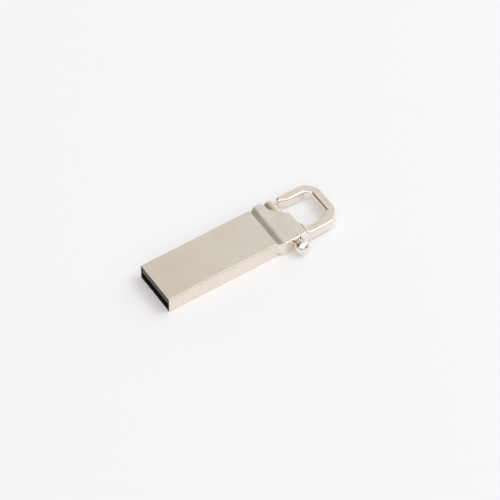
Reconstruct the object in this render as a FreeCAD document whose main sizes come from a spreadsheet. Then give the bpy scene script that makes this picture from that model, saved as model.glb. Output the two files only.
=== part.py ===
"""Slim metal USB flash drive with a snap hook, as a parametric model in millimetres.

The rectangular sleeve is itself the USB-A plug. A hook casting is glued into its rear end, and a
spring-loaded bolt with a ball knob closes the hook's gate.

Frame: origin at the centre of the sleeve's underside, +X towards the hook, +Z up, and the gate of
the hook on the +Y side.
"""
import FreeCAD, Part
import Sketcher
import math
import os

from FreeCAD import Rotation, Vector

DOC = FreeCAD.newDocument("usb_flash_drive")
SHEET = DOC.addObject("Spreadsheet::Sheet", "dims")

FULL_TURN = 360.0

# Each swept span of the spring's wire is this share of a turn, so that every face stays simple.
SPRING_SPAN_TURNS = 0.25

CAPACITOR_COUNT = 3
RESISTOR_COUNT = 2

DIMENSIONS = {
    # sleeve: a USB-A plug shell carried on as the whole case
    "sleeve_length": 30.0,
    "sleeve_width": 12.2,
    "sleeve_height": 4.5,
    "sleeve_wall": 0.35,
    "sleeve_outer_round": 0.25,
    "sleeve_inner_round": 0.12,
    # hook casting: spigot, neck, block and loop
    "hook_mid_height": 2.17,
    "spigot_length": 3.5,
    "glue_gap": 0.10,
    "glue_margin": 0.4,
    "neck_half_width": 5.95,
    "neck_half_height": 1.60,
    "neck_flat": 0.35,
    "flare_length": 1.25,
    "block_half_width": 6.75,
    "block_half_height": 2.07,
    "block_length": 7.7,
    "block_edge_round": 0.22,
    "shoulder_round": 1.2,
    "neck_corner_round": 0.9,
    "block_crest_round": 3.5,
    "neck_trough_round": 1.2,
    "gate_wall_length": 3.6,
    "diagonal_drop": 4.1,
    "diagonal_foot": 0.35,
    "scallop_radius": 3.9,
    "loop_length": 18.2,
    "loop_half_height": 1.30,
    "loop_bar_width": 2.35,
    "loop_outer_chamfer": 2.75,
    "loop_inner_chamfer": 1.25,
    "loop_corner_round": 3.0,
    "loop_inner_round": 0.5,
    "loop_edge_round": 0.50,
    "loop_root_slope": 1.1,
    "loop_root_round": 3.0,
    "root_crease_round": 1.2,
    "claw_tip_x": 22.75,
    "claw_tip_width": 1.20,
    "claw_taper_length": 2.4,
    "claw_round": 0.55,
    "claw_throat_round": 2.5,
    "tool_overrun": 1.0,
    # snap bolt on an axis parallel to Y
    "bolt_axis_x": 20.5,
    "nose_radius": 1.68,
    "nose_tip_y": 6.6,
    "nose_length": 6.0,
    "nose_tip_round": 0.35,
    "stem_radius": 0.60,
    "bore_clearance": 0.05,
    "bore_end_wall": 1.75,
    "knob_radius": 1.85,
    "knob_flat_reach": 1.39,
    "knob_gap": 0.06,
    "knob_socket_depth": 1.6,
    "spring_wire_radius": 0.125,
    "spring_mean_radius": 1.25,
    "spring_turns": 5,
    "spring_end_gap": 0.02,
    # contact carrier and chip module
    "tray_length": 25.9,
    "tray_width": 11.3,
    "tray_height": 2.0,
    "tray_recess": 0.10,
    "tray_lip": 0.75,
    "tray_edge_round": 0.18,
    "module_length": 24.6,
    "module_width": 10.6,
    "module_gap": 0.05,
    "film_height": 0.10,
    "film_margin": 0.4,
    "substrate_height": 0.30,
    "mould_height": 1.0,
    "mould_margin": 0.15,
    "contact_height": 0.04,
    "contact_width": 1.2,
    "power_contact_length": 7.4,
    "data_contact_length": 6.4,
    "contact_rear_offset": 7.8,
    "power_contact_y": 3.5,
    "data_contact_y": 1.0,
    "die_height": 0.15,
    "die_film_height": 0.04,
    "memory_die_length": 9.2,
    "memory_die_width": 8.1,
    "memory_die_offset": 11.6,
    "memory_die_step": 0.6,
    "controller_die_length": 2.8,
    "controller_die_width": 2.4,
    "controller_die_offset": 5.9,
    "chip_part_length": 1.0,
    "chip_part_width": 0.5,
    "capacitor_height": 0.5,
    "resistor_height": 0.35,
    "chip_part_spacing": 1.5,
    "capacitor_offset": 3.0,
    "resistor_offset": 9.8,
    # places worked out from the dimensions above
    "mouth_x": "=-sleeve_length / 2",
    "sleeve_end_x": "=sleeve_length / 2",
    "inner_width": "=sleeve_width - 2 * sleeve_wall",
    "inner_height": "=sleeve_height - 2 * sleeve_wall",
    "flare_start_x": "=sleeve_end_x + neck_flat",
    "block_start_x": "=flare_start_x + flare_length",
    "block_end_x": "=sleeve_end_x + block_length",
    "gate_wall_x": "=sleeve_end_x + gate_wall_length",
    "loop_end_x": "=sleeve_end_x + loop_length",
    "crease_x": "=block_end_x + loop_root_slope",
    "loop_half_width": "=block_half_width",
    "claw_step_x": "=block_end_x - loop_root_slope / 2",
    "claw_step_end_x": "=block_end_x + 3 * loop_root_slope / 2",
    "cut_top": "=block_half_height + tool_overrun",
    "cut_side": "=block_half_width + tool_overrun",
    "cut_front_x": "=sleeve_end_x - tool_overrun",
    "cut_rear_x": "=loop_end_x + tool_overrun",
    "bore_radius": "=nose_radius + bore_clearance",
    "bore_end_y": "=bore_end_wall - block_half_width",
    "nose_root_y": "=nose_tip_y - nose_length",
    "knob_y": "=-block_half_width - knob_gap - knob_flat_reach",
    "stem_end_y": "=knob_y + knob_flat_reach - knob_socket_depth",
    "spring_length": "=nose_root_y - bore_end_y",
    "tray_top_z": "=sleeve_height - sleeve_wall",
    "tray_bottom_z": "=tray_top_z - tray_height",
    "tray_start_x": "=mouth_x + tray_recess",
    "module_start_x": "=tray_start_x + tray_lip",
    "pocket_height": "=substrate_height + mould_height + film_height",
    "mould_z": "=tray_bottom_z + substrate_height",
}


def fill_sheet():
    """Write every dimension to the sheet, one row each, with its name as the cell's alias."""
    for row, (alias, value) in enumerate(DIMENSIONS.items(), start=1):
        SHEET.set("A%d" % row, alias)
        SHEET.set("B%d" % row, str(value))
        SHEET.setAlias("B%d" % row, alias)
    DOC.recompute()


def bind(item, **expressions):
    """Bind properties of an object to expressions in the sheet's aliases."""
    for name, expression in expressions.items():
        item.setExpression(name.replace("__", "."), in_sheet(expression))


def in_sheet(expression):
    """Put the sheet's name before every alias that an expression uses."""
    words = []
    for word in expression.replace("(", "( ").replace(")", " )").split():
        sign = "-" if word.startswith("-") and len(word) > 1 else ""
        bare = word[len(sign):]
        words.append(sign + "dims." + bare if bare in DIMENSIONS else word)
    return " ".join(words)


def dimension(alias):
    """The present value of one dimension, in millimetres."""
    return float(getattr(SHEET, alias))


def make_body(label):
    body = DOC.addObject("PartDesign::Body", label)
    body.Label = label
    return body


def plane_of(body, role):
    """One of a body's own origin planes, such as XY_Plane."""
    return next(item for item in body.Origin.OriginFeatures if item.Role == role)


def polygon_sketch(body, role, name, loops, offset=None):
    """A sketch on one origin plane: closed polygons whose corners are bound to expressions."""
    sketch = body.newObject("Sketcher::SketchObject", name)
    sketch.AttachmentSupport = [(plane_of(body, role), "")]
    sketch.MapMode = "FlatFace"
    if offset:
        bind(sketch, **{"AttachmentOffset__Base__" + axis: value for axis, value in offset.items()})
    for corners in loops:
        add_polygon(sketch, corners)
    DOC.recompute()
    return sketch


def evaluate(sketch, expression):
    """The number that an expression in the sheet's aliases gives."""
    value = sketch.evalExpression(in_sheet(expression))
    return float(getattr(value, "Value", value))


def add_polygon(sketch, corners):
    """Add lines round the corners, joined end to end, and fix every corner's two coordinates."""
    points = [Vector(evaluate(sketch, across), evaluate(sketch, up), 0) for across, up in corners]
    first = sketch.GeometryCount
    count = len(points)
    for index, point in enumerate(points):
        sketch.addGeometry(Part.LineSegment(point, points[(index + 1) % count]), False)
    for index in range(count):
        following = first + (index + 1) % count
        sketch.addConstraint(Sketcher.Constraint("Coincident", first + index, 2, following, 1))
    for index, (across, up) in enumerate(corners):
        for kind, expression, value in (("DistanceX", across, points[index].x),
                                        ("DistanceY", up, points[index].y)):
            number = sketch.addConstraint(Sketcher.Constraint(kind, -1, 1, first + index, 1, value))
            sketch.setExpression("Constraints[%d]" % number, in_sheet(expression))


def rectangle(half_width, half_height):
    """Corners of a rectangle centred on the sketch's origin."""
    return [("-1 * ( %s )" % half_width, "-1 * ( %s )" % half_height),
            (half_width, "-1 * ( %s )" % half_height),
            (half_width, half_height),
            ("-1 * ( %s )" % half_width, half_height)]


def make_box(label, size, corner):
    """A box with bound size and bound lowest corner."""
    box = DOC.addObject("Part::Box", label)
    box.Label = label
    bind(box, Length=size[0], Width=size[1], Height=size[2],
         Placement__Base__x=corner[0], Placement__Base__y=corner[1], Placement__Base__z=corner[2])
    return box


def edges_where(feature, test):
    """Names of the feature's edges that pass a test on their two ends."""
    names = []
    for number, edge in enumerate(feature.Shape.Edges, start=1):
        ends = [vertex.Point for vertex in edge.Vertexes]
        if len(ends) == 2 and test(ends[0], ends[1]):
            names.append("Edge%d" % number)
    return names


def round_edges(body, label, base, names, radius):
    """Round some of a feature's edges, with a bound radius."""
    fillet = body.newObject("PartDesign::Fillet", label)
    fillet.Base = (base, names)
    bind(fillet, Radius=radius)
    body.Tip = fillet
    DOC.recompute()
    return fillet


def near(first, second, limit=1e-4):
    return abs(first - second) < limit


def make_sleeve():
    """The nickel-plated steel tube: both the case and the USB-A plug shell."""
    body = make_body("sleeve")
    sketch = polygon_sketch(body, "YZ_Plane", "sleeve_section",
                            [rectangle("sleeve_width / 2", "sleeve_height / 2"),
                             rectangle("inner_width / 2", "inner_height / 2")])
    tube = body.newObject("PartDesign::Pad", "sleeve_tube")
    tube.Profile = sketch
    tube.Midplane = True
    bind(tube, Length="sleeve_length")
    body.Tip = tube
    bind(body, Placement__Base__z="sleeve_height / 2")
    DOC.recompute()
    half_width = dimension("sleeve_width") / 2
    outer = edges_where(tube, lambda a, b: near(a.y, b.y) and near(a.z, b.z)
                        and near(abs(a.y), half_width))
    rounded = round_edges(body, "sleeve_outer_edges", tube, outer, "sleeve_outer_round")
    inner_half = dimension("inner_width") / 2
    inner_half_height = dimension("inner_height") / 2
    inner = edges_where(rounded, lambda a, b: near(a.y, b.y) and near(abs(a.y), inner_half)
                        and near(a.z, b.z) and near(abs(a.z), inner_half_height))
    round_edges(body, "sleeve_inner_edges", rounded, inner, "sleeve_inner_round")
    return body


# The hook casting's outline, seen from above. The gate side is +Y.
HOOK_OUTLINE = [
    ("sleeve_end_x", "-neck_half_width"),
    ("flare_start_x", "-neck_half_width"),
    ("block_start_x", "-block_half_width"),
    ("loop_end_x - loop_outer_chamfer", "-loop_half_width"),
    ("loop_end_x", "loop_outer_chamfer - loop_half_width"),
    ("loop_end_x", "loop_half_width - loop_outer_chamfer"),
    ("loop_end_x - loop_outer_chamfer", "loop_half_width"),
    ("claw_tip_x", "loop_half_width"),
    ("claw_tip_x", "loop_half_width - claw_tip_width"),
    ("claw_tip_x + claw_taper_length", "loop_half_width - loop_bar_width"),
    ("loop_end_x - loop_bar_width - loop_inner_chamfer", "loop_half_width - loop_bar_width"),
    ("loop_end_x - loop_bar_width", "loop_half_width - loop_bar_width - loop_inner_chamfer"),
    ("loop_end_x - loop_bar_width", "loop_inner_chamfer + loop_bar_width - loop_half_width"),
    ("loop_end_x - loop_bar_width - loop_inner_chamfer", "loop_bar_width - loop_half_width"),
    ("block_end_x", "loop_bar_width - loop_half_width"),
    ("block_end_x", "diagonal_foot"),
    ("gate_wall_x", "diagonal_foot + diagonal_drop"),
    ("gate_wall_x", "block_half_width"),
    ("block_start_x", "block_half_width"),
    ("flare_start_x", "neck_half_width"),
    ("sleeve_end_x", "neck_half_width"),
]


# Upright edges of the casting to round in plan: (name, radius, corners of the outline).
PLAN_ROUNDS = [
    ("scallop", "scallop_radius", HOOK_OUTLINE[16:17]),
    ("loop_root", "loop_root_round", HOOK_OUTLINE[14:15]),
    ("claw_tip", "claw_round", HOOK_OUTLINE[7:9]),
    ("claw_throat", "claw_throat_round", HOOK_OUTLINE[9:10]),
    ("loop_corners", "loop_corner_round", HOOK_OUTLINE[3:7]),
    ("loop_inner_corners", "loop_inner_round", HOOK_OUTLINE[10:14]),
    ("shoulders", "shoulder_round", [HOOK_OUTLINE[2], HOOK_OUTLINE[18]]),
    ("neck_corners", "neck_corner_round", [HOOK_OUTLINE[1], HOOK_OUTLINE[19]]),
]


def mirrored(corners):
    """The same polygon on the other side of the sketch's horizontal axis."""
    return [(across, "-1 * ( %s )" % up) for across, up in corners]


def corner_edges(feature, corners):
    """Names of the upright edges that stand at the given corners in plan."""
    return edges_where(feature, lambda a, b: near(a.x, b.x) and near(a.y, b.y) and
                       any(near(a.x, x) and near(a.y, y) for x, y in corners))


def round_corners(body, base, label, radius, corners, sketch):
    """Round the upright edges at corners given as expressions."""
    places = [(evaluate(sketch, across), evaluate(sketch, up)) for across, up in corners]
    return round_edges(body, label, base, corner_edges(base, places), radius)


def through_pocket(body, name, loops):
    """Cut polygons on the XZ plane right through the body, both ways from its middle."""
    sketch = polygon_sketch(body, "XZ_Plane", name + "_profile", loops)
    pocket = body.newObject("PartDesign::Pocket", name)
    pocket.Profile = sketch
    pocket.Type = "ThroughAll"
    pocket.Midplane = True
    body.Tip = pocket
    DOC.recompute()
    return pocket


def make_hook_body():
    """The zinc casting: spigot, waisted neck, block with the bolt's bore, and the open loop."""
    body = make_body("hook_body")
    outline = polygon_sketch(body, "XY_Plane", "hook_outline", [HOOK_OUTLINE])
    plate = body.newObject("PartDesign::Pad", "hook_plate")
    plate.Profile = outline
    plate.Midplane = True
    bind(plate, Length="2 * block_half_height")
    body.Tip = plate
    bind(body, Placement__Base__z="hook_mid_height")
    DOC.recompute()

    shape = plate
    for label, radius, corners in PLAN_ROUNDS:
        shape = round_corners(body, shape, label, radius, corners, outline)

    top_step = [("block_end_x", "block_half_height"),
                ("crease_x", "loop_half_height"),
                ("cut_rear_x", "loop_half_height"),
                ("cut_rear_x", "cut_top"),
                ("block_end_x", "cut_top")]
    through_pocket(body, "loop_step", [top_step, mirrored(top_step)])
    level_claw(body)
    waist = [("cut_front_x", "neck_half_height"),
             ("flare_start_x", "neck_half_height"),
             ("block_start_x", "block_half_height"),
             ("block_start_x", "cut_top"),
             ("cut_front_x", "cut_top")]
    shape = through_pocket(body, "neck_waist", [waist, mirrored(waist)])
    shape = round_edges(body, "root_creases", shape,
                        cross_edges(shape, "crease_x", "loop_half_height"), "root_crease_round")
    shape = round_edges(body, "loop_edges", shape, loop_rim(shape), "loop_edge_round")
    shape = round_edges(body, "block_crests", shape,
                        cross_edges(shape, "block_start_x", "block_half_height"), "block_crest_round")
    shape = round_edges(body, "neck_troughs", shape,
                        cross_edges(shape, "flare_start_x", "neck_half_height"), "neck_trough_round")
    round_edges(body, "block_edges", shape, block_rim(shape), "block_edge_round")
    add_spigot(body)
    cut_bore(body)
    return body


def level_claw(body):
    """Take the claw, which ends beside the block, down to the loop's own thickness."""
    step = [("claw_step_x", "loop_half_height"),
            ("claw_step_end_x", "loop_half_height"),
            ("claw_step_end_x", "cut_top"),
            ("claw_step_x", "cut_top")]
    section = polygon_sketch(body, "XZ_Plane", "claw_section", [step, mirrored(step)],
                             {"z": "loop_bar_width + loop_root_slope / 2 - loop_half_width"})
    pocket = body.newObject("PartDesign::Pocket", "claw_step")
    pocket.Profile = section
    pocket.Type = "ThroughAll"
    body.Tip = pocket
    DOC.recompute()


def loop_rim(feature):
    """The loop's long edges at its top and bottom faces, but not the one across its root."""
    height = dimension("loop_half_height")
    return edges_where(feature, lambda a, b: near(a.z, b.z) and near(abs(a.z), height)
                       and not (near(a.x, b.x) and max(a.y, b.y) < 0))


def cross_edges(feature, place, height):
    """The casting's edges that run straight across it, at one place along X and one height."""
    return edges_where(feature, lambda a, b: near(a.x, dimension(place)) and near(b.x, dimension(place))
                       and near(a.z, b.z) and near(abs(a.z), dimension(height)))


def block_rim(feature):
    """The block's side edges, at its top and bottom faces."""
    height = dimension("block_half_height")
    side = dimension("block_half_width")
    return edges_where(feature, lambda a, b: near(a.z, b.z) and near(abs(a.z), height)
                       and near(a.y, b.y) and near(abs(a.y), side))


def add_spigot(body):
    """The tongue that is glued into the sleeve's rear end, on the sleeve's own middle height."""
    section = polygon_sketch(body, "YZ_Plane", "spigot_section",
                             [rectangle("inner_width / 2 - glue_gap", "inner_height / 2 - glue_gap")],
                             {"y": "sleeve_height / 2 - hook_mid_height", "z": "sleeve_end_x"})
    spigot = body.newObject("PartDesign::Pad", "spigot")
    spigot.Profile = section
    spigot.Reversed = True
    bind(spigot, Length="spigot_length")
    body.Tip = spigot
    DOC.recompute()


def cut_bore(body):
    """The stepped bore along Y: wide for the bolt's nose, narrow through the near wall."""
    section = polygon_sketch(body, "XY_Plane", "bore_section", [[
        ("0", "-cut_side"),
        ("stem_radius + bore_clearance", "-cut_side"),
        ("stem_radius + bore_clearance", "bore_end_y"),
        ("bore_radius", "bore_end_y"),
        ("bore_radius", "cut_side"),
        ("0", "cut_side")]], {"x": "bolt_axis_x"})
    bore = body.newObject("PartDesign::Groove", "bolt_bore")
    bore.Profile = section
    bore.ReferenceAxis = (section, ["V_Axis"])
    bore.Angle = FULL_TURN
    body.Tip = bore
    DOC.recompute()


def make_glue_ring():
    """The epoxy between the spigot and the sleeve."""
    body = make_body("spigot_adhesive")
    section = polygon_sketch(body, "YZ_Plane", "glue_section",
                             [rectangle("inner_width / 2", "inner_height / 2"),
                              rectangle("inner_width / 2 - glue_gap", "inner_height / 2 - glue_gap")],
                             {"y": "sleeve_height / 2", "z": "sleeve_end_x - glue_margin"})
    ring = body.newObject("PartDesign::Pad", "glue_ring")
    ring.Profile = section
    ring.Reversed = True
    bind(ring, Length="spigot_length - 2 * glue_margin")
    body.Tip = ring
    DOC.recompute()
    side = dimension("inner_width") / 2
    outer = edges_where(ring, lambda a, b: near(a.y, b.y) and near(a.z, b.z)
                        and near(abs(a.y), side))
    round_edges(body, "glue_edges", ring, outer, "sleeve_inner_round")
    return body


def make_latch_bolt():
    """The turned bolt: a round nose that closes the gate, and a thin stem out to the knob."""
    body = make_body("latch_bolt")
    section = polygon_sketch(body, "XY_Plane", "bolt_section", [[
        ("0", "stem_end_y"),
        ("stem_radius", "stem_end_y"),
        ("stem_radius", "nose_root_y"),
        ("nose_radius", "nose_root_y"),
        ("nose_radius", "nose_tip_y"),
        ("0", "nose_tip_y")]], {"x": "bolt_axis_x"})
    bolt = body.newObject("PartDesign::Revolution", "bolt_turning")
    bolt.Profile = section
    bolt.ReferenceAxis = (section, ["V_Axis"])
    bolt.Angle = FULL_TURN
    body.Tip = bolt
    bind(body, Placement__Base__z="hook_mid_height")
    DOC.recompute()
    tip = dimension("nose_tip_y")
    rim = ["Edge%d" % number for number, edge in enumerate(bolt.Shape.Edges, start=1)
           if edge.Closed and near(edge.BoundBox.YMin, tip)
           and edge.Length > dimension("nose_radius")]
    round_edges(body, "nose_tip", bolt, rim, "nose_tip_round")
    return body


def make_ball_knob():
    """The polished ball pressed on the stem's end, cut flat where it faces the block."""
    ball = DOC.addObject("Part::Sphere", "knob_ball")
    ball.Placement.Rotation = Rotation(Vector(1, 0, 0), -90)
    bind(ball, Radius="knob_radius", Angle2="asin( knob_flat_reach / knob_radius )",
         Placement__Base__x="bolt_axis_x", Placement__Base__y="knob_y",
         Placement__Base__z="hook_mid_height")
    socket = make_cylinder("knob_socket", "stem_radius", "2 * knob_radius", "stem_end_y")
    return cut("ball_knob", ball, socket)


def make_cylinder(label, radius, height, start_y):
    """A cylinder on the bolt's axis, running towards +Y from start_y."""
    cylinder = DOC.addObject("Part::Cylinder", label)
    cylinder.Placement.Rotation = Rotation(Vector(1, 0, 0), -90)
    bind(cylinder, Radius=radius, Height=height, Placement__Base__x="bolt_axis_x",
         Placement__Base__y=start_y, Placement__Base__z="hook_mid_height")
    return cylinder


def make_bolt_spring():
    """The compression spring round the stem, between the bore's end wall and the nose."""
    turns = DOC.addObject("Part::Helix", "spring_turns_path")
    turns.Placement.Rotation = Rotation(Vector(1, 0, 0), -90)
    turns.SegmentLength = SPRING_SPAN_TURNS
    bind(turns, Radius="spring_mean_radius",
         Height="spring_length - 2 * spring_wire_radius - 2 * spring_end_gap",
         Pitch="( spring_length - 2 * spring_wire_radius - 2 * spring_end_gap ) / spring_turns",
         Placement__Base__x="bolt_axis_x",
         Placement__Base__y="bore_end_y + spring_wire_radius + spring_end_gap",
         Placement__Base__z="hook_mid_height")
    wire = DOC.addObject("Part::Circle", "spring_wire_section")
    DOC.recompute()
    rise = math.atan2(turns.Pitch.Value, 2 * math.pi * turns.Radius.Value)
    wire.Placement.Rotation = Rotation(Vector(1, 0, 0), -math.degrees(rise))
    bind(wire, Radius="spring_wire_radius",
         Placement__Base__x="bolt_axis_x + spring_mean_radius",
         Placement__Base__y="bore_end_y + spring_wire_radius + spring_end_gap",
         Placement__Base__z="hook_mid_height")
    spring = DOC.addObject("Part::Sweep", "bolt_spring")
    spring.Sections = [wire]
    spring.Spine = (turns, [])
    spring.Solid = True
    spring.Frenet = True
    DOC.recompute()
    return spring


def cut(label, base, tool):
    result = DOC.addObject("Part::Cut", label)
    result.Base = base
    result.Tool = tool
    result.Label = label
    return result


def make_contact_tray():
    """The black plastic tongue: a tray over the whole plug length with a pocket underneath."""
    body = make_body("contact_tray")
    section = polygon_sketch(body, "YZ_Plane", "tray_section",
                             [rectangle("tray_width / 2", "tray_height / 2")],
                             {"y": "tray_top_z - tray_height / 2", "z": "tray_start_x"})
    block = body.newObject("PartDesign::Pad", "tray_block")
    block.Profile = section
    bind(block, Length="tray_length")
    body.Tip = block
    DOC.recompute()
    front = dimension("tray_start_x")
    names = edges_where(block, lambda a, b: (near(a.y, b.y) and near(a.z, b.z))
                        or (near(a.x, front) and near(b.x, front)))
    round_edges(body, "tray_edges", block, names, "tray_edge_round")
    length = "module_length / 2 + module_gap"
    pocket_section = polygon_sketch(body, "XY_Plane", "pocket_section",
                                    [rectangle(length, "module_width / 2 + module_gap")],
                                    {"x": "module_start_x + module_length / 2", "z": "tray_bottom_z"})
    pocket = body.newObject("PartDesign::Pocket", "tray_pocket")
    pocket.Profile = pocket_section
    pocket.Reversed = True
    bind(pocket, Length="pocket_height")
    body.Tip = pocket
    DOC.recompute()
    return body


def module_box(label, length, width, height, start, z, y="0"):
    """A flat piece of the chip module, by its start behind the module's front and its middle y."""
    return make_box(label, (length, width, height),
                    ("module_start_x + %s" % start, "%s - ( %s ) / 2" % (y, width), z))


def make_contacts():
    """The four gold-plated contacts on the module's underside, power outside and data inside."""
    contacts = []
    for label, side, kind in (("vbus_contact", "", "power"), ("data_minus_contact", "", "data"),
                              ("data_plus_contact", "-", "data"), ("ground_contact", "-", "power")):
        length = "%s_contact_length" % kind
        contacts.append(module_box(label, length, "contact_width", "contact_height",
                                   "contact_rear_offset - %s" % length,
                                   "tray_bottom_z - contact_height", "%s%s_contact_y" % (side, kind)))
    return contacts


def make_dies():
    """The controller and two stacked memory dies, each on its own attach film."""
    pieces = []
    stack = (("controller_die", "controller_die", "controller_die_offset", "0"),
             ("memory_die_lower", "memory_die", "memory_die_offset", "0"),
             ("memory_die_upper", "memory_die", "memory_die_offset + memory_die_step",
              "( die_film_height + die_height )"))
    for label, kind, start, lift in stack:
        length = "%s_length" % kind
        width = "%s_width" % kind
        pieces.append(module_box(label + "_film", length, width, "die_film_height", start,
                                 "mould_z + %s" % lift))
        pieces.append(module_box(label, length, width, "die_height", start,
                                 "mould_z + %s + die_film_height" % lift))
    return pieces


def make_chip_parts(label, count, height, start):
    """A row of identical small ceramic parts across the module, in one node."""
    boxes = []
    for index in range(count):
        place = "chip_part_spacing * %s" % (index - (count - 1) / 2)
        boxes.append(module_box("%s_%d" % (label, index + 1), "chip_part_length",
                                "chip_part_width", height, start, "mould_z", place))
    group = DOC.addObject("Part::Compound", label)
    group.Links = boxes
    return group


def make_module():
    """The chip-on-board module: substrate, contacts, silicon, small parts and black mould."""
    substrate = module_box("module_substrate", "module_length", "module_width",
                           "substrate_height", "0", "tray_bottom_z")
    film = module_box("tray_adhesive_film", "module_length - 2 * film_margin",
                      "module_width - 2 * film_margin", "film_height", "film_margin",
                      "mould_z + mould_height")
    inside = make_dies()
    inside.append(make_chip_parts("bypass_capacitors", CAPACITOR_COUNT,
                                  "capacitor_height", "capacitor_offset"))
    inside.append(make_chip_parts("series_resistors", RESISTOR_COUNT,
                                  "resistor_height", "resistor_offset"))
    filled = DOC.addObject("Part::Compound", "mould_cavities")
    filled.Links = inside
    block = module_box("mould_block", "module_length - 2 * mould_margin",
                       "module_width - 2 * mould_margin", "mould_height", "mould_margin", "mould_z")
    mould = cut("module_mould", block, filled)
    return [substrate, film, mould] + inside + make_contacts()


def check_and_write(parts):
    """Stop on any failed object or bad shape, then write one STEP file per sub-part."""
    DOC.recompute()
    for item in DOC.Objects:
        if {"Invalid", "Error"} & set(item.State):
            raise RuntimeError("failed object: " + item.Label)
    os.makedirs("parts", exist_ok=True)
    for part in parts:
        shape = part.Shape
        if shape.isNull() or not shape.isValid() or shape.Volume <= 0:
            raise RuntimeError("bad shape: " + part.Label)
        shape.exportStep("parts/%s.step" % part.Label)
        box = shape.BoundBox
        print("%-22s %2d solid(s) %9.3f mm3  x %7.2f %7.2f  y %7.2f %7.2f  z %6.2f %6.2f" % (
            part.Label, len(shape.Solids), shape.Volume, box.XMin, box.XMax, box.YMin, box.YMax,
            box.ZMin, box.ZMax))


def main():
    fill_sheet()
    parts = [make_sleeve(), make_hook_body(), make_glue_ring(), make_latch_bolt(),
             make_ball_knob(), make_bolt_spring(), make_contact_tray()]
    parts += make_module()
    check_and_write(parts)


main()
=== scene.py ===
"""The looks of the metal USB flash drive with a snap hook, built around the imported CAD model.

Frame: metres, origin at the centre of the sleeve's underside, +X towards the hook, +Z up.
"""
import math

import bmesh
import bpy
from mathutils import Matrix, Vector


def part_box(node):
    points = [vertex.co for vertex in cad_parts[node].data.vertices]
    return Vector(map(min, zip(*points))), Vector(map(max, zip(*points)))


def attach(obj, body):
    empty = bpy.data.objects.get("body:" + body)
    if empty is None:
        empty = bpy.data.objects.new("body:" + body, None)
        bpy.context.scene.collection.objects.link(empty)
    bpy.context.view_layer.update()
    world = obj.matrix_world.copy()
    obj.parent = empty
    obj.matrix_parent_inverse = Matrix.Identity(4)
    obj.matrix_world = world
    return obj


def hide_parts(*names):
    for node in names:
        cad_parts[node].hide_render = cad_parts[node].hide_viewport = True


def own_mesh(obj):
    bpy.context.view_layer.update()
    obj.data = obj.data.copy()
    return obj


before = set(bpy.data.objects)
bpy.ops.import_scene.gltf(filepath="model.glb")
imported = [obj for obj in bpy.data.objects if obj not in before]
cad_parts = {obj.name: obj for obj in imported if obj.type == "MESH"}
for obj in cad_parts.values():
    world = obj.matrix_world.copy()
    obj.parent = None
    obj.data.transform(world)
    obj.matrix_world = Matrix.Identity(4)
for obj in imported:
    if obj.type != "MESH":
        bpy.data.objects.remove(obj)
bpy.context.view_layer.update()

MM = 0.001

# Camera: a long lens looking down on the drive from its mouth end.
CAMERA_AZIMUTH = math.radians(-33.20)
CAMERA_ELEVATION = math.radians(51.58)
CAMERA_DISTANCE = 0.935
CAMERA_OFFSET_RIGHT = 9.49 * MM
CAMERA_OFFSET_UP = 3.93 * MM
SENSOR_WIDTH = 36.0
LENS = 288.0
CLIP_START = 0.01
CLIP_END = 20.0

# The soft box stands over the hook's end, a little to the near side.
SOFT_BOX_DIRECTION = (0.50, -0.25, 0.83)
SOFT_BOX_DISTANCE = 0.9
SOFT_BOX_SIZE = 0.30
SOFT_BOX_POWER = 1.8
SOFT_BOX_COLOR = (0.88, 1.0, 1.02)

# The floor lies a hair below the sleeve's underside, so that the two never share a plane.
FLOOR_SIZE = 4.0
FLOOR_GAP = 0.02 * MM
FLOOR_COLOR = (0.648, 0.722, 0.736, 1.0)
FLOOR_GLOW = (0.26, 0.20, 0.195, 1.0)
FLOOR_ROUGHNESS = 0.9
FLOOR_SPECULAR = 0.1


# ---------------------------------------------------------------- building blocks for shaders

PER_MM = 1.0 / MM

# The dot product of the true and the softened surface directions: flat stretch, sharp edge.
EDGE_FLAT = 0.999
EDGE_SHARP = 0.93
EDGE_SAMPLES = 4


def new_material(name):
    """An empty material: (material, its node tree, its shader)."""
    material = bpy.data.materials.new(name)
    material.use_nodes = True
    tree = material.node_tree
    return material, tree, tree.nodes["Principled BSDF"]


def new_metal(name):
    """The same, with a shader for bare metal."""
    material, tree, shader = new_material(name)
    shader.inputs["Metallic"].default_value = 1.0
    return material, tree, shader


def math_node(tree, operation, first, second):
    """The output of one sum; either input may be a number or another node's output."""
    node = tree.nodes.new("ShaderNodeMath")
    node.operation = operation
    for place, value in zip(node.inputs, (first, second)):
        if isinstance(value, (int, float)):
            place.default_value = value
        else:
            tree.links.new(value, place)
    return node.outputs["Value"]


def noise(tree, size, detail, stretch=(1.0, 1.0, 1.0)):
    """Soft noise with features of one size in metres, stretched by a factor along each axis."""
    place = tree.nodes.new("ShaderNodeMapping")
    tree.links.new(tree.nodes.new("ShaderNodeTexCoord").outputs["Object"], place.inputs["Vector"])
    place.inputs["Scale"].default_value = [1.0 / (size * factor) for factor in stretch]
    texture = tree.nodes.new("ShaderNodeTexNoise")
    texture.inputs["Scale"].default_value = 1.0
    texture.inputs["Detail"].default_value = detail
    tree.links.new(place.outputs["Vector"], texture.inputs["Vector"])
    return texture.outputs["Fac"]


def ramp(tree, value, start, end, low, high):
    """A smooth change from low at start to high at end; low may be the greater, to go down."""
    node = tree.nodes.new("ShaderNodeMapRange")
    node.interpolation_type = "SMOOTHSTEP"
    for name, number in (("From Min", start), ("From Max", end), ("To Min", low), ("To Max", high)):
        node.inputs[name].default_value = number
    tree.links.new(value, node.inputs["Value"])
    return node.outputs["Result"]


def spread(tree, texture, low, high, reach=0.2):
    """A ramp over the range that noise mostly fills, which is 0.5 give or take reach."""
    return ramp(tree, texture, 0.5 - reach, 0.5 + reach, low, high)


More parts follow.
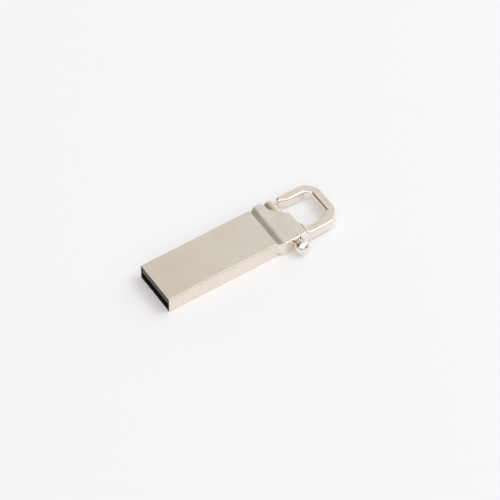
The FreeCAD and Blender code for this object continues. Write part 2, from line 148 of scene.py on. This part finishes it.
def blend(tree, amount, first, second):
    """A colour between two, each given as three numbers or as another node's output."""
    node = tree.nodes.new("ShaderNodeMix")
    node.data_type = "RGBA"
    tree.links.new(amount, node.inputs["Factor"])
    for name, color in (("A", first), ("B", second)):
        place = next(item for item in node.inputs if item.name == name and item.type == "RGBA")
        if isinstance(color, tuple):
            place.default_value = (*color, 1.0)
        else:
            tree.links.new(color, place)
    return next(item for item in node.outputs if item.type == "RGBA")


def object_part(tree, output, axis):
    """One axis of the object's own position ("Object") or surface direction ("Normal")."""
    split = tree.nodes.new("ShaderNodeSeparateXYZ")
    tree.links.new(tree.nodes.new("ShaderNodeTexCoord").outputs[output], split.inputs["Vector"])
    return split.outputs[axis]


def edge_mask(tree, radius):
    """About 1 near a sharp edge and 0 on flat stretches, over a radius in metres."""
    soft = tree.nodes.new("ShaderNodeBevel")
    soft.samples = EDGE_SAMPLES
    soft.inputs["Radius"].default_value = radius
    dot = tree.nodes.new("ShaderNodeVectorMath")
    dot.operation = "DOT_PRODUCT"
    tree.links.new(soft.outputs["Normal"], dot.inputs[0])
    tree.links.new(tree.nodes.new("ShaderNodeNewGeometry").outputs["Normal"], dot.inputs[1])
    return ramp(tree, dot.outputs["Value"], EDGE_FLAT, EDGE_SHARP, low=0.0, high=1.0)


def relief(tree, shader, height, depth, strength):
    """Bump on the shader from a height between 0 and 1, of a real depth in metres."""
    bump = tree.nodes.new("ShaderNodeBump")
    bump.inputs["Strength"].default_value = strength
    bump.inputs["Distance"].default_value = depth
    tree.links.new(height, bump.inputs["Height"])
    tree.links.new(bump.outputs["Normal"], shader.inputs["Normal"])


# ---------------------------------------------------------------- camera, floor and light

def make_camera():
    """A camera at the drive's viewing angle, aimed a little beside the origin."""
    back = Vector((math.sin(CAMERA_AZIMUTH) * math.cos(CAMERA_ELEVATION),
                   -math.cos(CAMERA_AZIMUTH) * math.cos(CAMERA_ELEVATION),
                   math.sin(CAMERA_ELEVATION)))
    right = Vector((math.cos(CAMERA_AZIMUTH), math.sin(CAMERA_AZIMUTH), 0.0))
    up = back.cross(right)
    data = bpy.data.cameras.new("camera")
    data.sensor_width = SENSOR_WIDTH
    data.lens = LENS
    data.clip_start = CLIP_START
    data.clip_end = CLIP_END
    camera = bpy.data.objects.new("camera", data)
    bpy.context.scene.collection.objects.link(camera)
    place = back * CAMERA_DISTANCE + right * CAMERA_OFFSET_RIGHT + up * CAMERA_OFFSET_UP
    turn = Matrix((right, up, back)).transposed()
    camera.matrix_world = Matrix.Translation(place) @ turn.to_4x4()
    bpy.context.scene.camera = camera


def make_floor():
    """A plain pale floor under the sleeve, lit a little from beneath like a light table."""
    half = FLOOR_SIZE / 2
    outline = ((-half, -half), (half, -half), (half, half), (-half, half))
    mesh = bpy.data.meshes.new("floor")
    mesh.from_pydata([(x, y, -FLOOR_GAP) for x, y in outline], [], [(0, 1, 2, 3)])
    floor = bpy.data.objects.new("floor", mesh)
    bpy.context.scene.collection.objects.link(floor)
    material, _, shader = new_material("floor_paper")
    shader.inputs["Base Color"].default_value = FLOOR_COLOR
    shader.inputs["Emission Color"].default_value = FLOOR_GLOW
    shader.inputs["Emission Strength"].default_value = 1.0
    shader.inputs["Roughness"].default_value = FLOOR_ROUGHNESS
    shader.inputs["Specular IOR Level"].default_value = FLOOR_SPECULAR
    mesh.materials.append(material)


# The surroundings are AMBIENT bright, less some dark lobes. Each is (direction, half-angle in
# degrees where it begins, half-angle where it is full, change in brightness).
AMBIENT = 1.21
AMBIENT_COLOR = (1.0, 0.952, 0.948, 1.0)
DARK_LOBES = [
    ((0.34, 0.60, 0.72), 50.0, 20.0, -0.46),
    ((-0.50, 0.50, 0.70), 47.0, 10.0, -0.57),
    ((-0.75, 0.45, 0.40), 34.0, 14.0, -0.86),
]
# The room beyond the table is a dark band near the horizon on the near side. Its limits are
# components of the direction: Z for its height and Y for its side.
ROOM_TOP = 0.36
ROOM_FULL = 0.24
ROOM_SIDE_START = 0.0
ROOM_SIDE_FULL = -0.4
ROOM_CHANGE = -1.25
# No direction is darker than this, lobes and band together.
DARKEST = 0.15
# What the camera sees past the floor's edge.
BACKDROP_COLOR = (0.93, 0.94, 0.95, 1.0)


def room_band(tree, direction):
    """The change in brightness that the room's dark band makes in a direction."""
    split = tree.nodes.new("ShaderNodeSeparateXYZ")
    tree.links.new(direction, split.inputs["Vector"])
    low = ramp(tree, split.outputs["Z"], ROOM_FULL, ROOM_TOP, low=1.0, high=0.0)
    near_side = ramp(tree, split.outputs["Y"], ROOM_SIDE_FULL, ROOM_SIDE_START, low=1.0, high=0.0)
    band = math_node(tree, "MULTIPLY", low, near_side)
    return math_node(tree, "MULTIPLY", band, ROOM_CHANGE)


def lobe(tree, direction, towards, start, full, amount):
    """The change in brightness that one lobe makes in a direction."""
    dot = tree.nodes.new("ShaderNodeVectorMath")
    dot.operation = "DOT_PRODUCT"
    tree.links.new(direction, dot.inputs[0])
    dot.inputs[1].default_value = Vector(towards).normalized()
    return ramp(tree, dot.outputs["Value"], math.cos(math.radians(start)),
                math.cos(math.radians(full)), low=0.0, high=amount)


def make_world():
    """Pale surroundings, dimmer on the far side and beyond the mouth, dark low on the near side."""
    world = bpy.data.worlds.new("studio")
    bpy.context.scene.world = world
    world.use_nodes = True
    tree = world.node_tree
    nodes, links = tree.nodes, tree.links
    direction = nodes.new("ShaderNodeTexCoord").outputs["Generated"]
    level = AMBIENT
    for towards, start, full, amount in DARK_LOBES:
        level = math_node(tree, "ADD", lobe(tree, direction, towards, start, full, amount), level)
    level = math_node(tree, "ADD", level, room_band(tree, direction))
    background = nodes["Background"]
    background.inputs["Color"].default_value = AMBIENT_COLOR
    links.new(math_node(tree, "MAXIMUM", level, DARKEST), background.inputs["Strength"])
    backdrop = nodes.new("ShaderNodeBackground")
    backdrop.inputs["Color"].default_value = BACKDROP_COLOR
    mix = nodes.new("ShaderNodeMixShader")
    links.new(nodes.new("ShaderNodeLightPath").outputs["Is Camera Ray"], mix.inputs["Fac"])
    links.new(background.outputs["Background"], mix.inputs[1])
    links.new(backdrop.outputs["Background"], mix.inputs[2])
    links.new(mix.outputs["Shader"], nodes["World Output"].inputs["Surface"])


def make_soft_box():
    """A square soft box that faces the drive."""
    data = bpy.data.lights.new("soft_box", "AREA")
    data.shape = "SQUARE"
    data.size = SOFT_BOX_SIZE
    data.energy = SOFT_BOX_POWER
    data.color = SOFT_BOX_COLOR
    lamp = bpy.data.objects.new("soft_box", data)
    bpy.context.scene.collection.objects.link(lamp)
    towards = Vector(SOFT_BOX_DIRECTION).normalized()
    lamp.location = towards * SOFT_BOX_DISTANCE
    lamp.rotation_euler = towards.to_track_quat("Z", "Y").to_euler()


def make_light():
    """The pale surroundings and one soft box, high over the hook's outer end."""
    make_world()
    make_soft_box()
    bpy.context.scene.view_settings.view_transform = "Standard"


# ---------------------------------------------------------------- plated metal

NICKEL_WARM = (0.81, 0.735, 0.62)
NICKEL_COOL = (0.84, 0.805, 0.705)
NICKEL_BRIGHT = (0.935, 0.88, 0.785)
# The side colour is painted shade: upright faces get it for how bright they look under the lights.
NICKEL_SIDE_PAINTED_SHADE = (0.90, 0.80, 0.72)
NICKEL_WORN = (0.90, 0.85, 0.78)
SLEEVE_SMEAR = (0.79, 0.70, 0.60)
# The sleeve's edge colour is painted shade, which dims the highlight along its rounded edges.
SLEEVE_EDGE_PAINTED_SHADE = (0.70, 0.64, 0.555)
# The mouth rim's colour is painted shade for the dark end face of the sleeve's mouth.
MOUTH_RIM_PAINTED_SHADE = (0.11, 0.10, 0.095)
# The inside colour is painted shade for the dark hollow of the sleeve.
SLEEVE_INSIDE_PAINTED_SHADE = (0.13, 0.12, 0.115)
BALL_WARM = (0.87, 0.80, 0.73)
BALL_PALE = (0.90, 0.86, 0.81)

# How far the upright sides take their colour of painted shade, from 0 to 1.
SLEEVE_SIDE_SHADE_SHARE = 0.8
CAST_SIDE_SHADE_SHARE = 0.6
# What rounded edges add to the sleeve's roughness.
SLEEVE_EDGE_ROUGHNESS = 0.45
CAST_SIDE_ROUGHNESS = 0.09
CAST_TOP_ROUGHNESS = 0.27

# The sleeve's sheet is this thick, which tells its inner faces from its outer ones.
SLEEVE_WALL = 0.35 * MM
# Clouds in the plate have more contrast than other noise.
CLOUD_REACH = 0.14


def levelness(tree):
    """1 on level faces, up or down, and 0 on upright ones."""
    return math_node(tree, "ABSOLUTE", object_part(tree, "Normal", "Z"), 0.0)


def upright(tree):
    """1 on upright faces and 0 on slanted and level ones."""
    return ramp(tree, levelness(tree), start=0.10, end=0.40, low=1.0, high=0.0)


def slanted(tree):
    """About 1 where the surface slants between level and upright, as on a rounded edge."""
    level = levelness(tree)
    not_upright = ramp(tree, level, start=0.10, end=0.45, low=0.0, high=1.0)
    not_level = ramp(tree, level, start=0.75, end=0.97, low=1.0, high=0.0)
    return math_node(tree, "MULTIPLY", not_upright, not_level)


def inside_of(tree, node, wall):
    """1 on the inner faces of a tube along X with a wall of this thickness, and 0 outside."""
    low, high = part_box(node)
    within = None
    for axis, name in ((1, "Y"), (2, "Z")):
        middle = (low[axis] + high[axis]) / 2
        reach = (high[axis] - low[axis]) / 2 - wall
        off = math_node(tree, "SUBTRACT", object_part(tree, "Object", name), middle)
        off = math_node(tree, "ABSOLUTE", off, 0.0)
        near = ramp(tree, off, reach + wall / 3, reach + wall / 2, low=1.0, high=0.0)
        within = near if within is None else math_node(tree, "MULTIPLY", within, near)
    return within


def satin_nickel():
    """Pearl nickel plate on the sleeve: matt and warmer at the mouth, with painted shade on its
    inside, its mouth rim, its rounded edges and its upright sides.
    """
    material, tree, shader = new_metal("satin_nickel")
    clouds = noise(tree, size=5.5 * MM, detail=3.0)
    smudges = noise(tree, size=2.2 * MM, detail=4.0, stretch=(1.6, 1.0, 1.0))
    grain = noise(tree, size=0.09 * MM, detail=2.0, stretch=(3.0, 1.0, 1.0))

    low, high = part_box("sleeve")
    along = ramp(tree, object_part(tree, "Object", "X"), low[0], high[0] / 3, low=0.0, high=0.75)
    cloudy = spread(tree, clouds, low=-0.15, high=0.25, reach=CLOUD_REACH)
    plate = blend(tree, math_node(tree, "ADD", along, cloudy), NICKEL_WARM, NICKEL_COOL)
    smears = ramp(tree, smudges, start=0.56, end=0.70, low=0.0, high=0.40)
    smeared = blend(tree, smears, plate, SLEEVE_SMEAR)
    edges = slanted(tree)
    # Painted shade on the rounded edges, dimming their highlight.
    edged = blend(tree, edges, smeared, SLEEVE_EDGE_PAINTED_SHADE)
    # Painted shade: the upright sides take a colour of their own for how bright they look under the
    # lights.
    painted_side_shade = math_node(tree, "MULTIPLY", upright(tree), SLEEVE_SIDE_SHADE_SHARE)
    outside = blend(tree, painted_side_shade, edged, NICKEL_SIDE_PAINTED_SHADE)
    # Painted shade on the sleeve's inner faces.
    inside_shaded = blend(tree, inside_of(tree, "sleeve", SLEEVE_WALL), outside, SLEEVE_INSIDE_PAINTED_SHADE)
    # Painted shade on the end face at the mouth only, not on the rear end.
    faces_mouth = object_part(tree, "Normal", "X")
    rim = ramp(tree, faces_mouth, start=-0.97, end=-0.90, low=1.0, high=0.0)
    tree.links.new(blend(tree, rim, inside_shaded, MOUTH_RIM_PAINTED_SHADE), shader.inputs["Base Color"])

    matt = ramp(tree, smudges, start=0.40, end=0.68, low=0.38, high=0.45)
    rougher = math_node(tree, "MULTIPLY", edges, SLEEVE_EDGE_ROUGHNESS)
    tree.links.new(math_node(tree, "ADD", matt, rougher), shader.inputs["Roughness"])
    relief(tree, shader, grain, depth=0.0006 * MM, strength=0.5)
    return material


def cast_nickel():
    """The same plate on the polished casting: glossy sides, satin top and underside, and painted
    shade in the colour of its upright sides.
    """
    material, tree, shader = new_metal("cast_nickel")
    clouds = noise(tree, size=3.5 * MM, detail=3.0)
    ripples = noise(tree, size=2.2 * MM, detail=0.0)

    bright = spread(tree, clouds, low=0.35, high=1.0, reach=CLOUD_REACH)
    plate = blend(tree, bright, NICKEL_COOL, NICKEL_BRIGHT)
    edged = blend(tree, slanted(tree), plate, NICKEL_WORN)
    # Painted shade: the upright sides take a colour of their own for how bright they look under the
    # lights.
    painted_side_shade = math_node(tree, "MULTIPLY", upright(tree), CAST_SIDE_SHADE_SHARE)
    tree.links.new(blend(tree, painted_side_shade, edged, NICKEL_SIDE_PAINTED_SHADE), shader.inputs["Base Color"])

    gloss = ramp(tree, levelness(tree), start=0.90, end=0.995,
                 low=CAST_SIDE_ROUGHNESS, high=CAST_TOP_ROUGHNESS)
    cloudy = spread(tree, clouds, low=-0.02, high=0.03, reach=0.15)
    tree.links.new(math_node(tree, "ADD", gloss, cloudy), shader.inputs["Roughness"])
    relief(tree, shader, ripples, depth=0.006 * MM, strength=0.4)
    return material


def turned_nickel():
    """Plate over a turned bolt, with fine rings round its axis."""
    material, tree, shader = new_metal("turned_nickel")
    rings = noise(tree, size=0.12 * MM, detail=2.0, stretch=(40.0, 1.0, 40.0))
    clouds = noise(tree, size=1.5 * MM, detail=2.0)
    cool = spread(tree, clouds, low=0.0, high=1.0, reach=CLOUD_REACH)
    plate = blend(tree, cool, NICKEL_WARM, NICKEL_COOL)
    worn = blend(tree, edge_mask(tree, radius=0.12 * MM), plate, NICKEL_WORN)
    tree.links.new(worn, shader.inputs["Base Color"])
    tree.links.new(spread(tree, rings, low=0.12, high=0.22), shader.inputs["Roughness"])
    relief(tree, shader, rings, depth=0.0008 * MM, strength=0.5)
    return material


def polished_nickel():
    """The ball's mirror polish, with faint waves from buffing and hairline scratches."""
    material, tree, shader = new_metal("polished_nickel")
    waves = noise(tree, size=0.6 * MM, detail=1.0)
    scratches = noise(tree, size=0.10 * MM, detail=3.0, stretch=(1.0, 8.0, 1.0))
    clouds = noise(tree, size=1.1 * MM, detail=3.0)
    tree.links.new(blend(tree, clouds, BALL_WARM, BALL_PALE), shader.inputs["Base Color"])
    hairlines = ramp(tree, scratches, start=0.45, end=0.75, low=0.03, high=0.11)
    tree.links.new(hairlines, shader.inputs["Roughness"])
    relief(tree, shader, waves, depth=0.10 * MM, strength=0.9)
    return material


# ---------------------------------------------------------------- plain materials

# A worn edge is this much lighter than the body's light colour.
EDGE_GAIN = 1.35
EDGE_LIFT = 0.01
# Patches of smoother and rougher surface are this many times the mottle's size.
PATCH_FACTOR = 9.0
PATCH_ROUGHNESS = 0.07


def dull_solid(name, dark, light, size, rough, depth, metallic=0.0, stretch=(1.0, 1.0, 1.0),
               specular=0.5):
    """A material of two close colours mottled at one size, with roughness and relief to match."""
    material, tree, shader = new_material(name)
    shader.inputs["Metallic"].default_value = metallic
    shader.inputs["Specular IOR Level"].default_value = specular
    mottle = noise(tree, size, detail=4.0, stretch=stretch)
    patches = noise(tree, PATCH_FACTOR * size, detail=2.0)
    body = blend(tree, spread(tree, mottle, low=0.0, high=1.0), dark, light)
    worn = tuple(min(1.0, EDGE_GAIN * part + EDGE_LIFT) for part in light)
    edges = edge_mask(tree, radius=0.08 * MM)
    tree.links.new(blend(tree, edges, body, worn), shader.inputs["Base Color"])
    tree.links.new(spread(tree, patches, rough - PATCH_ROUGHNESS, rough + PATCH_ROUGHNESS),
                   shader.inputs["Roughness"])
    relief(tree, shader, mottle, depth, strength=0.6)
    return material


def spring_steel():
    """Drawn spring wire."""
    return dull_solid("spring_steel", (0.42, 0.41, 0.40), (0.58, 0.57, 0.55), size=0.05 * MM,
                      rough=0.28, depth=0.002 * MM, metallic=1.0)


def black_plastic():
    """The contact tray's moulded plastic."""
    return dull_solid("black_plastic", (0.054, 0.046, 0.050), (0.072, 0.062, 0.067),
                      size=0.12 * MM, rough=0.42, depth=0.004 * MM, specular=0.3)


def mould_compound():
    """The black epoxy that buries the dies."""
    return dull_solid("mould_compound", (0.010, 0.010, 0.011), (0.028, 0.028, 0.030),
                      size=0.06 * MM, rough=0.55, depth=0.004 * MM)


def die_film():
    """The amber film under each die."""
    return dull_solid("die_film", (0.20, 0.16, 0.10), (0.30, 0.25, 0.16), size=0.2 * MM,
                      rough=0.4, depth=0.002 * MM)


def epoxy():
    """Cured adhesive, pale and slightly yellow."""
    return dull_solid("epoxy", (0.42, 0.38, 0.28), (0.56, 0.52, 0.40), size=0.5 * MM, rough=0.3,
                      depth=0.01 * MM)


def gold_plate():
    """Gold on the contact pads, brushed lengthwise."""
    return dull_solid("gold_plate", (0.86, 0.60, 0.24), (0.93, 0.70, 0.34), size=0.08 * MM,
                      rough=0.26, depth=0.002 * MM, metallic=1.0, stretch=(8.0, 1.0, 1.0))


# ---------------------------------------------------------------- the memory module

MASK_DARK = (0.004, 0.030, 0.014)
MASK_LIGHT = (0.008, 0.045, 0.020)
MASK_OVER_TRACK = (0.020, 0.085, 0.038)
DIE_DARK = (0.055, 0.050, 0.075)
DIE_LIGHT = (0.12, 0.11, 0.14)
DIE_LINE = (0.20, 0.19, 0.23)
CAPACITOR_BODY = (0.36, 0.24, 0.13)
RESISTOR_BODY = (0.03, 0.03, 0.03)
TINNED_END = (0.72, 0.71, 0.69)

# The wave texture's scale for each millimetre, which sets the tracks about 0.9 mm apart.
TRACK_SCALE = 0.35
DIE_BLOCKS_PER_MM = 1.4
# A chip part changes from ceramic to tin between these distances from its middle.
CHIP_BODY_HALF = 0.27 * MM
CHIP_END_START = 0.29 * MM


def circuit_board():
    """Dark green solder mask, lighter over the copper tracks that run lengthwise."""
    material, tree, shader = new_material("circuit_board")
    tracks = tree.nodes.new("ShaderNodeTexWave")
    tracks.bands_direction = "Y"
    tracks.inputs["Scale"].default_value = TRACK_SCALE * PER_MM
    tracks.inputs["Distortion"].default_value = 1.5
    tree.links.new(tree.nodes.new("ShaderNodeTexCoord").outputs["Object"], tracks.inputs["Vector"])
    raised = ramp(tree, tracks.outputs["Fac"], start=0.55, end=0.65, low=0.0, high=1.0)
    weave = noise(tree, size=0.25 * MM, detail=3.0)
    mask = blend(tree, weave, MASK_DARK, MASK_LIGHT)
    tree.links.new(blend(tree, raised, mask, MASK_OVER_TRACK), shader.inputs["Base Color"])
    tree.links.new(spread(tree, weave, low=0.28, high=0.42), shader.inputs["Roughness"])
    relief(tree, shader, raised, depth=0.02 * MM, strength=0.6)
    return material


def silicon():
    """A bare die: dark violet-grey blocks with fine lines across them."""
    material, tree, shader = new_material("silicon")
    blocks = tree.nodes.new("ShaderNodeTexVoronoi")
    blocks.distance = "CHEBYCHEV"
    blocks.inputs["Scale"].default_value = DIE_BLOCKS_PER_MM * PER_MM
    tree.links.new(tree.nodes.new("ShaderNodeTexCoord").outputs["Object"], blocks.inputs["Vector"])
    lines = noise(tree, size=0.04 * MM, detail=2.0, stretch=(1.0, 20.0, 1.0))
    base = blend(tree, blocks.outputs["Distance"], DIE_DARK, DIE_LIGHT)
    fine = ramp(tree, lines, start=0.45, end=0.60, low=0.0, high=0.5)
    tree.links.new(blend(tree, fine, base, DIE_LINE), shader.inputs["Base Color"])
    tree.links.new(spread(tree, lines, low=0.10, high=0.25), shader.inputs["Roughness"])
    relief(tree, shader, lines, depth=0.001 * MM, strength=0.4)
    return material


def chip_ceramic(middle_x, body_color):
    """A surface-mount part: ceramic in the middle and tinned ends along its length."""
    material, tree, shader = new_material("chip_ceramic")
    off = math_node(tree, "SUBTRACT", object_part(tree, "Object", "X"), middle_x)
    off = math_node(tree, "ABSOLUTE", off, 0.0)
    ends = ramp(tree, off, CHIP_BODY_HALF, CHIP_END_START, low=0.0, high=1.0)
    grit = noise(tree, size=0.05 * MM, detail=3.0)
    darker = tuple(0.7 * part for part in body_color)
    ceramic = blend(tree, grit, darker, body_color)
    tree.links.new(blend(tree, ends, ceramic, TINNED_END), shader.inputs["Base Color"])
    tree.links.new(ends, shader.inputs["Metallic"])
    tree.links.new(spread(tree, grit, low=0.28, high=0.48), shader.inputs["Roughness"])
    relief(tree, shader, grit, depth=0.003 * MM, strength=0.6)
    return material


# ---------------------------------------------------------------- the bolt's spring

SPRING_TURNS = 5
SPRING_WIRE_RADIUS = 0.125 * MM
SPRING_STEPS_PER_TURN = 36
SPRING_WIRE_SIDES = 12


def wire_ring(centre, outward, along):
    """Points round the wire at one place on its centre line."""
    ring = []
    for side in range(SPRING_WIRE_SIDES):
        turn = 2 * math.pi * side / SPRING_WIRE_SIDES
        offset = math.cos(turn) * outward + math.sin(turn) * along
        ring.append(centre + SPRING_WIRE_RADIUS * offset)
    return ring


def spring_rings(low, high):
    """The wire's rings of points, along a coil that fills the box from low to high."""
    middle = (low + high) / 2
    coil_radius = (high.x - low.x) / 2 - SPRING_WIRE_RADIUS
    rise = high.y - low.y - 2 * SPRING_WIRE_RADIUS
    steps = SPRING_TURNS * SPRING_STEPS_PER_TURN
    along = Vector((0.0, 1.0, 0.0))
    rings = []
    for step in range(steps + 1):
        angle = 2 * math.pi * step / SPRING_STEPS_PER_TURN
        outward = Vector((math.cos(angle), 0.0, -math.sin(angle)))
        place = low.y + SPRING_WIRE_RADIUS + rise * step / steps
        centre = Vector((middle.x, place, middle.z)) + coil_radius * outward
        rings.append(wire_ring(centre, outward, along))
    return rings


def spring_mesh(low, high):
    """The coil as one closed tube."""
    build = bmesh.new()
    rings = [[build.verts.new(point) for point in ring] for ring in spring_rings(low, high)]
    for ring, following in zip(rings, rings[1:]):
        for side in range(SPRING_WIRE_SIDES):
            after = (side + 1) % SPRING_WIRE_SIDES
            build.faces.new((ring[side], ring[after], following[after], following[side]))
    build.faces.new(rings[0])
    build.faces.new(rings[-1])
    bmesh.ops.recalc_face_normals(build, faces=build.faces)
    mesh = bpy.data.meshes.new("spring_coil")
    build.to_mesh(mesh)
    build.free()
    mesh.shade_smooth()
    return mesh


def make_spring(material):
    """The coil round the bolt's stem, built in place of the CAD spring and fixed to the drive."""
    low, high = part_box("bolt_spring")
    mesh = spring_mesh(low, high)
    mesh.materials.append(material)
    coil = bpy.data.objects.new("spring_coil", mesh)
    bpy.context.scene.collection.objects.link(coil)
    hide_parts("bolt_spring")
    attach(coil, "drive")
    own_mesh(coil)


# ---------------------------------------------------------------- which material goes where

def paint(nodes, material):
    """Give CAD nodes one material in every slot."""
    for node in nodes:
        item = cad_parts[node]
        if not item.material_slots:
            item.data.materials.append(material)
        for place in item.material_slots:
            place.material = material


def middle_of(node):
    """The middle of a CAD node along X."""
    low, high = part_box(node)
    return (low[0] + high[0]) / 2


def paint_everything():
    """A material for every CAD node, inside and out, and the spring's own coil."""
    paint(["sleeve"], satin_nickel())
    paint(["hook_body"], cast_nickel())
    paint(["latch_bolt"], turned_nickel())
    paint(["ball_knob"], polished_nickel())
    wire = spring_steel()
    paint(["bolt_spring"], wire)
    make_spring(wire)
    paint(["contact_tray"], black_plastic())
    paint(["module_substrate"], circuit_board())
    paint(["module_mould"], mould_compound())
    paint(["controller_die", "memory_die_lower", "memory_die_upper"], silicon())
    paint(["controller_die_film", "memory_die_lower_film", "memory_die_upper_film"], die_film())
    paint(["spigot_adhesive", "tray_adhesive_film"], epoxy())
    paint(["bypass_capacitors"], chip_ceramic(middle_of("bypass_capacitors"), CAPACITOR_BODY))
    paint(["series_resistors"], chip_ceramic(middle_of("series_resistors"), RESISTOR_BODY))
    paint(["vbus_contact", "data_minus_contact", "data_plus_contact", "ground_contact"],
          gold_plate())


make_camera()
make_floor()
make_light()
paint_everything()
